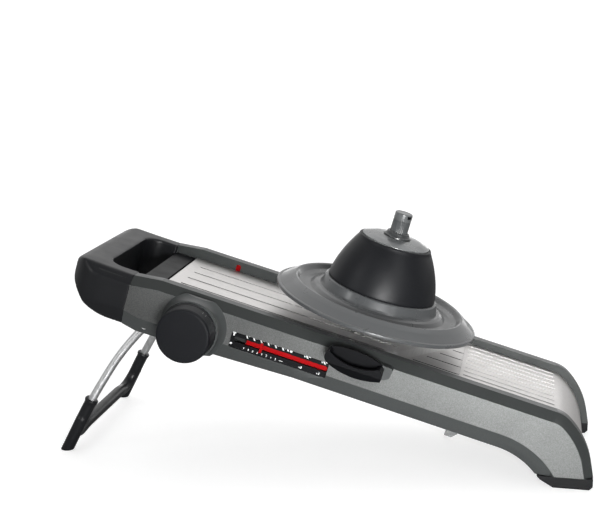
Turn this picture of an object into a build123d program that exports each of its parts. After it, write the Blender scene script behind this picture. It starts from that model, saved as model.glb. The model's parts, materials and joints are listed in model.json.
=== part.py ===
from build123d import *
import os
from math import atan2, cos, degrees, pi, radians, sin, tan

# A folding mandoline slicer. Everything is drawn in the deck frame: X runs down the deck towards the
# front feet, Y across it, Z along the deck normal, with z = 0 on top of the fixed deck plate. The deck
# frame is then tilted and the whole object is set down on z = 0.

# ------------------------------------------------------------------ driving dimensions (mm, degrees)
DECK_TILT = 15.57
DECK_CORNER_X = -21.1         # front corner of the deck plate behind the front of the feet
DECK_CORNER_HEIGHT = 48.58    # the same corner above the ground

RAIL_IN = 55.5                # inner face of each side rail, from the centre line
RAIL_OUT = 70.0               # outer face
RAIL_TOP = 5.5
RAIL_BOTTOM = -33.8
RAIL_WALL = 2.3
BAND = (6.5, 6.0)             # facet along the top of a rail: down the side, across the top
SKIRT = (11.5, 4.0)           # facet along the bottom: up the side, across the bottom
RAIL_REAR = -336.5            # seam between the rail and the handle grip
GRIP_TOP = 2.7
GRIP_END = -387.5
GRIP_HOLE = -362.0            # rear edge of the finger hole in the handle
INNER_WALL_BOTTOM = -27.0     # the inner wall stops here, so the folded leg tucks under it
FOOT_HEIGHT = 8.5             # rubber foot under each rail

PLATE = 1.0                   # deck plate thickness
FRONT_BEND_X = -7.7           # the deck starts to turn down here
FRONT_RADII = (16.0, 56.0)    # of the plate's top in its two front bends
FRONT_TURNS = (30.0, 64.0)    # slope at the end of each bend
APRON_DROP = 10.5             # straight run below the second bend
DECK_JOINT = -82.0            # seam between the landing plate and the blade insert
BLADE_SLOPE = 0.47            # the blade runs diagonally: x per y
BLADE_EDGE_MID = -117.6       # cutting edge on the centre line
BLADE_DEPTH = 12.0
THROAT = 3.5                  # gap between the ramp and the cutting edge
SLIT_PITCH = 19.3
SLIT_FIRST = -35.0
SLIT_COUNT = 4
SLIT_SETBACK = 15.6           # each slit starts this far behind the cutting edge
SLIT_WIDTH = 1.6

RAMP_REAR = -317.8
RAMP_DROP = 2.8               # slice thickness set: ramp surface below the deck
RAMP_HALF = 54.9
RAMP_SLOPE = 0.2              # rise of the cam slots per millimetre of bar travel
BAR_BACK = 14.0               # cam bar travel from the set position to closed
BAR_AHEAD = 36.0              # and to the thickest slice
PIN_X = (-282.0, -165.0)      # ramp guide pins along each rail
PIN_Z = -5.75
PIN_R = 2.0

DIAL_X = -281.5
DIAL_Z = -18.8
DIAL_R = 20.8
DIAL_FACE = -101.0            # outer face of the knob
DIAL_BACK = -82.5
DIAL_SHAFT_R = 2.5
DIAL_MODULE = 1.5
DIAL_TEETH = 14

SELECTOR_X = -138.0
SELECTOR_Z = -5.0
SELECTOR_MODULE = 1.0
SELECTOR_TEETH = 12
COMB_SHAFT_X = -95.0
COMB_SHAFT_Z = -22.2
COMB_SHAFT_R = 3.0
COMB_LIFT_R = 3.82            # base radius of the lifting cams: lift per radian
COMB_TOP = -2.4               # top of the comb blades at rest
COMB_LIFT_START = 1.0         # radians already unwound at rest

LEG_PIVOT_X = -318.5
LEG_PIVOT_Z = -33.0
LEG_TUBE_R = 3.2
LEG_TOP_Y = 58.7
LEG_FOOT_Y = 67.6
LEG_SLEEVE_TOP = (-380.0, 42.0)   # x ahead of the feet, height
LEG_SLEEVE_R = 4.7            # rubber over the lower part of the tube
LEG_CORNER_HEIGHT = 9.0       # centre line of the tube above the ground at the corners
LEG_ARCH_HEIGHT = 13.5        # and in the middle of the cross bar

GUARD_X = -159.3
GUARD_Z = 21.8                # plane of the guard's brim above the deck
BRIM_R = 80.3
CROWN_R = 43.0
CROWN_TOP_R = 29.0
DOME_R = 40.6                 # the shell under the soft sleeve, at its base
CROWN_BASE_Z = 15.5           # above the brim plane
CROWN_TOP_Z = 53.5
CROWN_BULGE = 2.2             # the side of the crown stands out this far from a straight cone
STEM_R = 6.9
STEM_TOP_Z = 77.2
STEM_KNOB_Z = 71.0
PRONG_TIP_Z = -20.6
PUSHER_R = 34.0

GAP = 0.3                     # free gap between bodies that move past each other

PITCH_R = DIAL_MODULE * DIAL_TEETH / 2
SELECTOR_PITCH_R = SELECTOR_MODULE * SELECTOR_TEETH / 2
PLATE_LAYER = (-60.4, -58.0)      # y of the near cam plate
GEAR_LAYER = (-63.4, -60.4)       # y of racks and pinions
POINTER_LAYER = (-66.0, -63.4)    # y of the red depth pointer
PANEL_LAYER = (-67.7, -66.4)      # y of the scale panel


# ------------------------------------------------------------------ helpers
def side_plane(y):
    """Plane seen from the near side: local x is X and local y is Z."""
    return Plane(origin=(0, y, 0), x_dir=(1, 0, 0), z_dir=(0, -1, 0))


def prism(face, y_low, y_high):
    return extrude(side_plane(y_high) * face, amount=y_high - y_low)


def block(x, y, z):
    """Box between two corners, each given as a (low, high) pair."""
    size = [high - low for low, high in (x, y, z)]
    centre = [(high + low) / 2 for low, high in (x, y, z)]
    return Pos(*centre) * Box(*size)


def rod(x, z, radius, y_low, y_high):
    return prism(Pos(x, z) * Circle(radius), y_low, y_high)


def post(x, y, radius, z_low, z_high):
    return Pos(x, y, (z_low + z_high) / 2) * Cylinder(radius, z_high - z_low)


def both_sides(part):
    return part + mirror(part, about=Plane.XZ)


def ground_z(x, height=0.0):
    """Deck-frame z of a point at deck-frame x that is a given height above the ground."""
    tilt = radians(DECK_TILT)
    return (height - DECK_CORNER_HEIGHT + x * sin(tilt)) / cos(tilt)


def slot_face(start, end, radius):
    """Round-ended slot between two centres."""
    dx, dz = end[0] - start[0], end[1] - start[1]
    turn = degrees(atan2(dz, dx))
    middle = Pos((start[0] + end[0]) / 2, (start[1] + end[1]) / 2)
    return middle * Rot(0, 0, turn) * SlotCenterToCenter((dx**2 + dz**2) ** 0.5, 2 * radius)


def blade_edge(y, behind=0.0):
    return BLADE_EDGE_MID + BLADE_SLOPE * y + behind


def slit_rows():
    return [SLIT_FIRST + SLIT_PITCH * i for i in range(SLIT_COUNT)]


def flank(radius, base, half_tooth, side):
    """Point of an involute flank at a radius; half_tooth is the half angle at the base circle."""
    unwound = max((radius / base) ** 2 - 1, 0) ** 0.5
    angle = side * (half_tooth - (unwound - atan2(unwound, 1)))
    return radius * sin(angle), radius * cos(angle)


def pinion_face(module, teeth, backlash=0.12):
    """Spur pinion with 20 degree involute teeth, one tooth pointing up."""
    pitch = module * teeth / 2
    base = pitch * cos(radians(20))
    tip = pitch + 0.85 * module
    root = pitch - 1.1 * module
    half = pi / (2 * teeth) - backlash / pitch + tan(radians(20)) - radians(20)
    radii = [max(base, root), (base + pitch) / 2, pitch, (pitch + tip) / 2, tip]
    left = [flank(r, base, half, -1) for r in radii]
    right = [flank(r, base, half, 1) for r in reversed(radii)]
    foot = root * 0.98
    outline = [(foot * sin(-half), foot * cos(half))] + left + right + [(foot * sin(half), foot * cos(half))]
    tooth = make_face(Polyline(*outline, close=True))
    face = Circle(root)
    for i in range(teeth):
        face += Rot(0, 0, 360 / teeth * i) * tooth
    return face


def rack_face(module, first, last, pitch_z, back_z, centre_x):
    """Rack between two x values whose gaps line up with a pinion tooth at centre_x.

    The teeth point from back_z towards pitch_z."""
    side = 1 if pitch_z > back_z else -1
    step = pi * module
    tip = 0.85 * module
    root = 1.15 * module
    wide = step / 4 + root * tan(radians(20)) - 0.06
    slim = step / 4 - tip * tan(radians(20)) - 0.06
    body_z = pitch_z - side * root
    middle = Pos((first + last) / 2, (body_z + back_z) / 2)
    face = middle * Rectangle(last - first, abs(body_z - back_z))
    count = int((last - first) / step) + 2
    start = int((first - centre_x) / step) - 1
    for i in range(start, start + count + 1):
        x = centre_x + step * (i + 0.5)
        if first + wide < x < last - wide:
            low, high = body_z - side * 0.01, pitch_z + side * tip
            corners = [(x - wide, low), (x - slim, high), (x + slim, high), (x + wide, low)]
            face += make_face(Polyline(*corners, close=True))
    return face


def front_curve(proud):
    """Two bends that turn the deck down at the front, a distance above the plate's top."""
    tight, wide = FRONT_RADII
    first, last = [radians(turn) for turn in FRONT_TURNS]
    knee_r, hip_r = tight + proud, wide + proud
    knee = (FRONT_BEND_X + knee_r * sin(first), -tight + knee_r * cos(first))
    centre = (FRONT_BEND_X - (wide - tight) * sin(first), -tight - (wide - tight) * cos(first))
    hip = (centre[0] + hip_r * sin(last), centre[1] + hip_r * cos(last))
    brow = TangentArc((FRONT_BEND_X, proud), knee, tangent=(1, 0))
    return brow, TangentArc(knee, hip, tangent=brow % 1), hip


def below_front(hip, run):
    """Point a straight run below the end of the front curve."""
    slope = radians(FRONT_TURNS[1])
    return hip[0] + run * cos(slope), hip[1] - run * sin(slope)


# ------------------------------------------------------------------ side rails
def rail_outline():
    """Side view of a rail: straight beam that turns down into the front foot."""
    brow, front, hip = front_curve(RAIL_TOP)
    tilt = radians(DECK_TILT)
    hip_height = DECK_CORNER_HEIGHT - hip[0] * sin(tilt) + hip[1] * cos(tilt)
    toe = below_front(hip, (hip_height - FOOT_HEIGHT) / sin(radians(FRONT_TURNS[1]) + tilt))
    heel = (-8.4, ground_z(-8.4, FOOT_HEIGHT))
    top = Polyline((RAIL_REAR, GRIP_TOP), (-315, RAIL_TOP), (FRONT_BEND_X, RAIL_TOP))
    shin = Line(hip, toe)
    sole = Line(toe, heel)
    arch = TangentArc((-40, RAIL_BOTTOM), heel, tangent=(1, 0))
    belly = Polyline((-40, RAIL_BOTTOM), (-200, RAIL_BOTTOM), (-300, -38.0), (-325, -38.3),
                     (RAIL_REAR, -36.1))
    rear = Line((RAIL_REAR, -36.1), (RAIL_REAR, GRIP_TOP))
    return make_face([top, brow, front, shin, sole, arch, belly, rear])


def faceted(face, y_low, y_high, upper, lower):
    """Prism whose outer (low y) edges are cut back; each cut is (down the side, across)."""
    body = prism(face, y_low, y_high)
    outer_face = body.faces().sort_by(Axis.Y)[0]
    edges = outer_face.edges()
    above = [e for e in edges if e.center().X > RAIL_REAR + 6 and (e.center().Z > -22 or e.center().X > 22)]
    body = chamfer(above, length=upper[0], length2=upper[1], reference=outer_face)
    outer_face = body.faces().sort_by(Axis.Y)[0]
    below = [e for e in outer_face.edges() if e.center().Z < -25 and RAIL_REAR + 5 < e.center().X < -8]
    return chamfer(below, length=lower[0], length2=lower[1], reference=outer_face)


def rail_blank():
    """Near rail with its hollow, before any holes."""
    body = faceted(rail_outline(), -RAIL_OUT, -RAIL_IN, BAND, SKIRT)
    inner = offset(rail_outline(), amount=-RAIL_WALL)
    hollow = faceted(inner, -RAIL_OUT + RAIL_WALL, -RAIL_IN - 2.2, (5.8, 5.0), (11.0, 3.8))
    throat = block((RAIL_REAR + RAIL_WALL, -50), (-RAIL_OUT + 6.3, -RAIL_IN - 2.2), (-60, -20))
    under = block((RAIL_REAR - 1, -60), (-RAIL_IN - 2.25, -RAIL_IN + 1), (-60, INNER_WALL_BOTTOM))
    bar_exit = block((RAIL_REAR - 1, RAIL_REAR + RAIL_WALL + 1), (GEAR_LAYER[0] - GAP, PLATE_LAYER[1] + 0.3),
                     (-21.8, 0.4))
    return body - hollow - throat - under - bar_exit


def guide_slots():
    """Upright slots in the inner wall for the ramp pins; the rear one is open higher up."""
    cut = None
    for x in PIN_X:
        high = PIN_Z + BAR_BACK * RAMP_SLOPE
        if x == PIN_X[0]:
            high = 0.4
        low = PIN_Z - BAR_AHEAD * RAMP_SLOPE
        slot = prism(slot_face((x, low), (x, high), PIN_R + 0.15), -RAIL_IN - 2.4, -RAIL_IN + 1)
        cut = slot if cut is None else cut + slot
    return cut


def pivot_hole():
    return rod(LEG_PIVOT_X, LEG_PIVOT_Z, 2.0, -RAIL_OUT + 2.5, -RAIL_IN)


def inner_bore(x, z, radius):
    return rod(x, z, radius, -RAIL_IN - 2.4, -RAIL_IN + 1)


def bowl_hook():
    """Small hook under the rail that drops over the rim of a bowl."""
    face = make_face(Polyline((-79.5, -31.5), (-70.5, -31.5), (-70.5, -34.5), (-74, -38.2), (-79.5, -38.2),
                              close=True))
    return prism(face, -66.0, -RAIL_OUT + 6.3)


def near_rail():
    rail = rail_blank() + bowl_hook()
    rail -= guide_slots() + pivot_hole()
    rail -= inner_bore(DIAL_X, DIAL_Z, DIAL_SHAFT_R + 0.05)
    rail -= inner_bore(COMB_SHAFT_X, COMB_SHAFT_Z, COMB_SHAFT_R + 0.05)
    rail -= rod(DIAL_X, DIAL_Z, 6.0, -RAIL_OUT - 1, -RAIL_OUT + 3)
    rail -= rod(SELECTOR_X, SELECTOR_Z, 4.05, -RAIL_OUT - 1, -62)
    window = block((-252, -175.5), (-RAIL_OUT - 1, -RAIL_OUT + 3), (-25, -12.5))
    seat = block((-254.7, -172.8), (PANEL_LAYER[0] - 0.02, PANEL_LAYER[1] + 0.3), (-26.4, -10.6))
    return rail - window - seat - rail_screw_holes()


def far_rail():
    rail = rail_blank() + bowl_hook()
    rail -= guide_slots() + pivot_hole()
    rail -= inner_bore(DIAL_X, DIAL_Z, DIAL_SHAFT_R + 0.05)
    rail -= inner_bore(COMB_SHAFT_X, COMB_SHAFT_Z, COMB_SHAFT_R + 0.05)
    return mirror(rail - rail_screw_holes(), about=Plane.XZ)


SCREW_SPOTS = ((-70, -9.5), (-20, -9.5), (-328, -12.0))


def rail_screw_holes():
    holes = None
    for x, z in SCREW_SPOTS:
        hole = rod(x, z, 1.25, -RAIL_IN - 2.4, -RAIL_IN + 1)
        holes = hole if holes is None else holes + hole
    return holes


def frame_screws():
    """Pan-head screws that hold the cross members to the inner walls of the rails."""
    screws = None
    for x, z in SCREW_SPOTS:
        screw = rod(x, z, 1.25, -RAIL_IN - 2.2, -RAIL_IN + 2.5)
        screw += rod(x, z, 2.6, -RAIL_IN + 2.5, -RAIL_IN + 4.5)
        screws = screw if screws is None else screws + screw
    return both_sides(screws)


# ------------------------------------------------------------------ cross members and handle
def rear_bridge():
    """Cross member behind the ramp, with two ears that carry the leg pivots."""
    bar = block((-336.0, -320.0), (-RAIL_IN, RAIL_IN), (-24, -3.6))
    bar -= block((-334.0, -322.0), (-RAIL_IN + 2.5, RAIL_IN - 2.5), (-30, -6))
    tall = block((-334.0, -312.0), (-54.6, -51.6), (-37.5, -20.0))
    tall -= rod(LEG_PIVOT_X, LEG_PIVOT_Z, 2.0, -60, -50)
    ear = tall - block((-321.0, -300.0), (-56, -50), (-24.0, -10.0))
    bar += both_sides(ear)
    for side in (-1, 1):
        bar -= block((-331.5, -324.5), tuple(sorted((side * 53.0, side * 47.0))), (-15.5, -8.5))
        bar -= rod(-328, -12.0, 1.25, *sorted((side * (RAIL_IN + 1), side * 50)))
    return bar


def grip_outline():
    """Side view of the grip, a blunt lobe that is fuller below."""
    face = make_face(Polyline((RAIL_REAR, GRIP_TOP), (GRIP_END, GRIP_TOP + 1.0), (GRIP_END, -15.0),
                              (-362, -36.6), (RAIL_REAR, -36.1), close=True))
    face = fillet(face.vertices().filter_by(lambda v: v.X < -360 and v.Y < -20), 38)
    face = fillet(face.vertices().filter_by(lambda v: v.X < -380 and v.Y < -10), 13)
    return fillet(face.vertices().filter_by(lambda v: v.X < -380 and v.Y > 0), 11)


def grip_section():
    """Cross-section of the handle at the seam, cut back along its edges as the rails are."""
    top, low = GRIP_TOP, -36.1
    half = [(RAIL_OUT - BAND[1], top + 4), (RAIL_OUT - BAND[1], top), (RAIL_OUT, top - BAND[0]),
            (RAIL_OUT, low + SKIRT[0]), (RAIL_OUT - SKIRT[1], low), (RAIL_OUT - SKIRT[1], low - 8)]
    other = [(-y, z) for y, z in reversed(half)]
    return make_face(Polyline(*half, *other, close=True))


def handle_loop(skin):
    """Rounded loop handle; skin shrinks it on every outer side."""
    side = prism(offset(grip_outline(), amount=-skin) if skin else grip_outline(), -RAIL_OUT, RAIL_OUT)
    side &= extrude(Plane.YZ.offset(GRIP_END - 5) * grip_section(), amount=100)
    length = RAIL_REAR - GRIP_END - skin
    outer = Pos(RAIL_REAR - length / 2 + 20, 0) * Rectangle(length + 40, 2 * (RAIL_OUT - skin))
    outer = fillet(outer.vertices().filter_by(lambda v: v.X < GRIP_END + 30), 27 - skin)
    hole_length = RAIL_REAR - GRIP_HOLE + 20
    hole = Pos(RAIL_REAR + 20 - hole_length / 2, 0)
    hole *= Rectangle(hole_length + 2 * skin, 2 * (RAIL_IN - 3.5 + skin))
    hole = fillet(hole.vertices().filter_by(lambda v: v.X < GRIP_HOLE + 10), 14)
    plan = outer - hole - Pos(RAIL_REAR + 50, 0) * Rectangle(100, 200)
    return side & extrude(Pos(0, 0, -60) * plan, amount=100)


def handle_core():
    core = handle_loop(3.0)
    tongue = block((RAIL_REAR - 4, RAIL_REAR + 0.0), (-66, -59.5), (-28, -4))
    return core + both_sides(tongue & handle_loop(1.5))


def handle_grip():
    return handle_loop(0) - handle_core()


def deck_frame():
    """Plastic tray under the fixed plates, screwed between the rails."""
    front = FRONT_BEND_X - 0.2
    tray = make_face(Polyline((front, -RAIL_IN), (front, RAIL_IN), (blade_edge(RAIL_IN, 1.0), RAIL_IN),
                              (blade_edge(-RAIL_IN, 1.0), -RAIL_IN), close=True))
    body = extrude(Pos(0, 0, -PLATE - 2.2) * tray, amount=2.2)
    for y in slit_rows():
        body -= block((blade_edge(y, SLIT_SETBACK - 0.4), DECK_JOINT - 0.6), (y - 1.4, y + 1.4), (-10, 0))
    for side in (-1, 1):
        near, far = sorted((side * RAIL_IN, side * (RAIL_IN - 2.5)))
        for x in (-70, -20):
            body += block((x - 6, x + 6), (near, far), (-14, -PLATE - 2.1))
            body -= rod(x, -9.5, 1.25, near - 1, far + 1)
    for y in (-48, -16, 16, 48):
        body += block((DECK_JOINT + 8, -10), (y - 1, y + 1), (-7.5, -PLATE - 2.1))
    return body


def front_crossbar():
    """Trough between the front legs, behind the apron."""
    bar = block((-14, 2), (-RAIL_IN, RAIL_IN), (-33, -17))
    return bar - block((-12, 0), (-RAIL_IN + 2.5, RAIL_IN - 2.5), (-34, -19))


# ------------------------------------------------------------------ deck plates and blade
def landing_plate():
    """Ribbed steel plate behind the blade; its front is bent down as an apron."""
    upper, upper_front, hip = front_curve(0)
    lower, lower_front, low_hip = front_curve(-PLATE)
    tip, low_tip = below_front(hip, APRON_DROP), below_front(low_hip, APRON_DROP)
    face = make_face([Line((DECK_JOINT, 0), (FRONT_BEND_X, 0)), upper, upper_front,
                      Polyline(hip, tip, low_tip, low_hip), lower_front, lower,
                      Polyline((FRONT_BEND_X, -PLATE), (DECK_JOINT, -PLATE), (DECK_JOINT, 0))])
    plate = prism(face, -RAIL_IN + 0.1, RAIL_IN - 0.1)
    for i in range(11):
        y = -50 + 10 * i
        plate += block((DECK_JOINT + 3, FRONT_BEND_X), (y - 1.6, y + 1.6), (-0.1, 0.4))
    return plate


def blade_insert():
    half = RAIL_IN - 0.1
    rear = BLADE_DEPTH
    face = make_face(Polyline((DECK_JOINT - 0.15, -half), (DECK_JOINT - 0.15, blade_tail()),
                              (blade_edge(-half, rear + 0.1), -half), close=True))
    plate = extrude(Pos(0, 0, -PLATE) * face, amount=PLATE)
    for y in slit_rows():
        start = blade_edge(y, SLIT_SETBACK)
        plate -= block((start, DECK_JOINT + 1), (y - SLIT_WIDTH / 2, y + SLIT_WIDTH / 2), (-3, 1))
    plate += block((DECK_JOINT - 1.6, DECK_JOINT - 0.15), (-half, blade_tail() - 3.5), (-PLATE, -0.25))
    return plate


def blade_tail():
    """y at which the back of the blade meets the landing plate."""
    return (DECK_JOINT - 0.15 - BLADE_EDGE_MID - BLADE_DEPTH - 0.1) / BLADE_SLOPE


def blade():
    """Diagonal steel blade, ground from below to its cutting edge."""
    half = RAIL_IN - 0.1
    rear = BLADE_DEPTH
    face = make_face(Polyline((blade_edge(-half), -half), (blade_edge(half), half),
                              (DECK_JOINT - 0.15, half), (DECK_JOINT - 0.15, blade_tail()),
                              (blade_edge(-half, rear), -half), close=True))
    body = extrude(Pos(0, 0, -PLATE) * face, amount=PLATE)
    bevel = make_face(Polyline((-4, -0.06), (0, -0.06), (2.6, -PLATE - 0.01), (2.6, -3), (-4, -3),
                               close=True))
    end = Plane(origin=(blade_edge(-80), -80, 0), x_dir=(1, -BLADE_SLOPE, 0), z_dir=(-BLADE_SLOPE, -1, 0))
    return body - extrude(end * bevel, amount=-200)


# ------------------------------------------------------------------ ramp and its drive
def ramp_outline(half, back, inset):
    return make_face(Polyline((back, -half), (back, half), (blade_edge(half, -THROAT - inset), half),
                              (blade_edge(-half, -THROAT - inset), -half), close=True))


def ramp_plate():
    top = -RAMP_DROP
    plate = extrude(Pos(0, 0, top - 0.8) * ramp_outline(RAMP_HALF, RAMP_REAR, 0), amount=0.8)
    for i in range(SLIT_COUNT + 1):
        y = SLIT_FIRST + SLIT_PITCH * (i - 0.5)
        run = (RAMP_REAR + 9.4, blade_edge(y - 1.5, -THROAT - 8))
        plate += block(run, (y - 1.5, y + 1.5), (top - 0.1, top + 0.45))
    return plate


def ramp_carrier():
    """Ribbed plastic frame under the ramp plate."""
    top, low = -RAMP_DROP - 0.8, -RAMP_DROP - 4.8
    half = RAMP_HALF - 0.4
    frame = extrude(Pos(0, 0, low) * ramp_outline(half, RAMP_REAR + 1, 14), amount=top - low)
    cells = ((-313, -288), (-275, -238), (-234, -202), (-198, -172))
    for first, last in cells:
        for y in (-25.5, 25.5):
            frame -= block((first, last), (y - 23, y + 23), (low - 1, top + 1))
    for x in PIN_X:
        frame -= both_sides(rod(x, PIN_Z, PIN_R, -half - 1, -half + 9))
    return frame


def ramp_pins():
    pins = None
    for x in PIN_X:
        pin = rod(x, PIN_Z, PIN_R, PLATE_LAYER[0], -RAMP_HALF + 9.4)
        pins = pin if pins is None else pins + pin
    return both_sides(pins)


def cam_plate():
    """Sliding plate with two inclined slots and the rack, on the near side."""
    outline = Polyline((-322, -21.5), (-147, -21.5), (-147, 1.7), (-312, 1.7), (-322, 0.1), close=True)
    body = prism(make_face(outline), *PLATE_LAYER)
    for x in PIN_X:
        start = (x - BAR_AHEAD, PIN_Z - BAR_AHEAD * RAMP_SLOPE)
        end = (x + BAR_BACK, PIN_Z + BAR_BACK * RAMP_SLOPE)
        body -= prism(slot_face(start, end, PIN_R + 0.15), PLATE_LAYER[0] - 1, PLATE_LAYER[1] + 1)
    shaft_slot = slot_face((DIAL_X - BAR_AHEAD, DIAL_Z), (DIAL_X + BAR_BACK, DIAL_Z), DIAL_SHAFT_R + 0.35)
    body -= prism(shaft_slot, PLATE_LAYER[0] - 1, PLATE_LAYER[1] + 1)
    rack = rack_face(DIAL_MODULE, -322, -262.5, DIAL_Z + PITCH_R, -2.6, DIAL_X)
    return body + prism(rack, *GEAR_LAYER)


def near_cam_bar():
    boss = block((-234, -152), (GEAR_LAYER[0], GEAR_LAYER[1] + 0.1), (-20.0, -17.2))
    return cam_plate() + boss


def far_cam_bar():
    return mirror(cam_plate(), about=Plane.XZ)


def depth_pointer():
    """Red strip seen through the scale slot, with the pointer that stands out of it."""
    strip = block((-240, -150), POINTER_LAYER, (-20.4, -16.8))
    neck = block((-228.8, -226.8), (-68.0, POINTER_LAYER[0]), (-20.0, -17.2))
    head = block((-228.8, -226.8), (-69.0, -68.0), (-22.4, -14.8))
    return strip + neck + head


def scale_panel():
    panel = block((-254.5, -173), PANEL_LAYER, (-26.2, -10.8))
    return panel - prism(slot_face((-247.5, DIAL_Z + 0.2), (-177.8, DIAL_Z + 0.2), 2.1), -80, -60)


def dial_pinion():
    face = Pos(DIAL_X, DIAL_Z) * pinion_face(DIAL_MODULE, DIAL_TEETH)
    pinion = prism(face, GEAR_LAYER[0], GEAR_LAYER[1] - GAP)
    return pinion - rod(DIAL_X, DIAL_Z, DIAL_SHAFT_R, -70, -50)


def near_pinion():
    return dial_pinion()


def far_pinion():
    return mirror(dial_pinion(), about=Plane.XZ)


def dial_shaft():
    shaft = rod(DIAL_X, DIAL_Z, DIAL_SHAFT_R, -97.5, 64.6)
    return shaft + rod(DIAL_X, DIAL_Z, 4.2, 63.4, 64.6)


def dial_boss():
    """Flared housing between the rail and the knob."""
    profile = make_face([Line((6.0, 0), (25.8, 0)), ThreePointArc((25.8, 0), (22.8, 4.0), (22.0, 12.0)),
                         Line((22.0, 12.0), (6.0, 12.0)), Line((6.0, 12.0), (6.0, 0))])
    flare = revolve(Plane.XZ * profile, Axis.Z)
    flare = Pos(DIAL_X, -RAIL_OUT, DIAL_Z) * Rot(90, 0, 0) * flare
    trim = prism(Pos(DIAL_X, -16.5) * Rectangle(80, 41.5), -RAIL_OUT - 20, -RAIL_OUT)
    bore = rod(DIAL_X, DIAL_Z, DIAL_SHAFT_R + 0.05, -90, -60)
    sleeve = rod(DIAL_X, DIAL_Z, 6.0, -RAIL_OUT, -67.9) - bore
    core = rod(DIAL_X, DIAL_Z, 6.0, -RAIL_OUT - 12, -RAIL_OUT) - bore
    return (flare & trim) + core + sleeve


def dial_knob():
    body = rod(DIAL_X, DIAL_Z, DIAL_R, DIAL_FACE, DIAL_BACK)
    body = fillet(body.edges().filter_by(GeomType.CIRCLE).sort_by(Axis.Y)[0], 2.2)
    body -= rod(DIAL_X, DIAL_Z, DIAL_R + 1, -87.4, -86.6) - rod(DIAL_X, DIAL_Z, DIAL_R - 0.7, -88, -86)
    body -= rod(DIAL_X, DIAL_Z, DIAL_R - 3, -85.5, DIAL_BACK)
    return body - rod(DIAL_X, DIAL_Z, DIAL_SHAFT_R, -97.5, DIAL_BACK)


def dial_washer():
    """Wavy washer that gives the dial its drag."""
    return rod(DIAL_X, DIAL_Z, 9.0, -82.9, -82.1) - rod(DIAL_X, DIAL_Z, 4.0, -84, -81)


# ------------------------------------------------------------------ selector and comb blades
def wing_outline():
    """Side view of the selector's wing."""
    rear = ThreePointArc((-176.5, -5.2), (-179.0, 0.0), (-175.8, 4.4))
    crown = ThreePointArc((-175.8, 4.4), (-156.3, 6.0), (-138.5, 2.2))
    nose = Polyline((-138.5, 2.2), (-135.3, -0.8), (-135.3, -8.2), (-139.5, -9.5))
    keel = ThreePointArc((-139.5, -9.5), (-158.0, -12.1), (-176.5, -5.2))
    return make_face([rear, crown, nose, keel])


def selector_wing():
    """Cup-shaped finger wing, open at the top and cut back along its outer lower edge."""
    body = prism(wing_outline(), -91.0, -77.4)
    section = make_face(Polyline((-91.5, 20), (-91.5, -4.5), (-84.5, -13), (-77, -13), (-77, 20), close=True))
    body &= extrude(Plane.YZ.offset(-190) * section, amount=70)
    rim = Pos(-156, 10.5) * Ellipse(24, 13.0)
    cup = offset(wing_outline(), amount=-2.2) & (Pos(-156, 3.5) * Rectangle(60, 20))
    return body - prism(rim + cup, -88.4, -79.4) - prism(rim, -95, -88.4)


def selector_hub():
    """Grey hub and spindle behind the wing."""
    base = wing_outline() & (Pos(-150, -4) * Rectangle(60, 15.5))
    plate = prism(base, -77.4, -75.4)
    heel = make_face(Polyline((-146, 1.4), (-131.2, 1.2), (-129.0, -0.6), (-130.2, -7.0), (-134, -9.4),
                              (-146, -9.4), close=True))
    heel = fillet(heel.vertices().filter_by(lambda v: v.X > -135), 1.5)
    drum = prism(heel, -77.4, -RAIL_OUT - GAP)
    spindle = rod(SELECTOR_X, SELECTOR_Z, 4.0, -RAIL_OUT - 1, GEAR_LAYER[0])
    return plate + drum + spindle


def selector_pinion():
    face = Pos(SELECTOR_X, SELECTOR_Z) * Rot(0, 0, 180) * pinion_face(SELECTOR_MODULE, SELECTOR_TEETH)
    return prism(face, GEAR_LAYER[0], GEAR_LAYER[1] - GAP)


def selector_rack():
    """Double rack that carries the selector's turn to the comb shaft."""
    top_line = SELECTOR_Z - SELECTOR_PITCH_R
    low_line = COMB_SHAFT_Z + SELECTOR_PITCH_R
    split = (top_line + low_line) / 2
    upper = rack_face(SELECTOR_MODULE, -155, -84, top_line, split - 0.1, SELECTOR_X)
    lower = rack_face(SELECTOR_MODULE, -155, -84, low_line, split + 0.1, COMB_SHAFT_X)
    bar = prism(upper + lower, GEAR_LAYER[0], GEAR_LAYER[1] - GAP)
    return bar


def comb_shaft():
    return rod(COMB_SHAFT_X, COMB_SHAFT_Z, COMB_SHAFT_R, GEAR_LAYER[0] - 0.6, RAIL_IN + 3.0)


def comb_pinion():
    face = Pos(COMB_SHAFT_X, COMB_SHAFT_Z) * pinion_face(SELECTOR_MODULE, SELECTOR_TEETH)
    bore = rod(COMB_SHAFT_X, COMB_SHAFT_Z, COMB_SHAFT_R, -70, -50)
    return prism(face, GEAR_LAYER[0], GEAR_LAYER[1] - GAP) - bore


def cam_point(turned):
    """Involute cam: lifts a flat follower by the same amount for every degree of turn."""
    unwound = COMB_LIFT_START + turned
    x = -COMB_LIFT_R * (cos(turned) + unwound * sin(turned))
    z = COMB_LIFT_R * (unwound * cos(turned) - sin(turned))
    return x, z


CAM_ROWS = (-44.0, 28.0)
COMB_REST_Z = COMB_SHAFT_Z + COMB_LIFT_R * COMB_LIFT_START + 0.2


def comb_cams():
    steps = 12
    curve = [cam_point((pi / 2 + 0.2) * i / steps - 0.1) for i in range(steps + 1)]
    heel = (curve[-1][0] + 1.5, curve[-1][1] - 1.5)
    lobe = make_face(Polyline(*curve, heel, (2.0, -4.0), (4.5, 0), close=True))
    face = lobe + Circle(COMB_SHAFT_R + 0.5) - Circle(COMB_SHAFT_R)
    cams = None
    for y in CAM_ROWS:
        cam = prism(Pos(COMB_SHAFT_X, COMB_SHAFT_Z) * face, y - 2.5, y + 2.5)
        cams = cam if cams is None else cams + cam
    return cams


GUIDE_SPOTS = ((-108.0, -25.0), (-87.6, 13.0))


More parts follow.
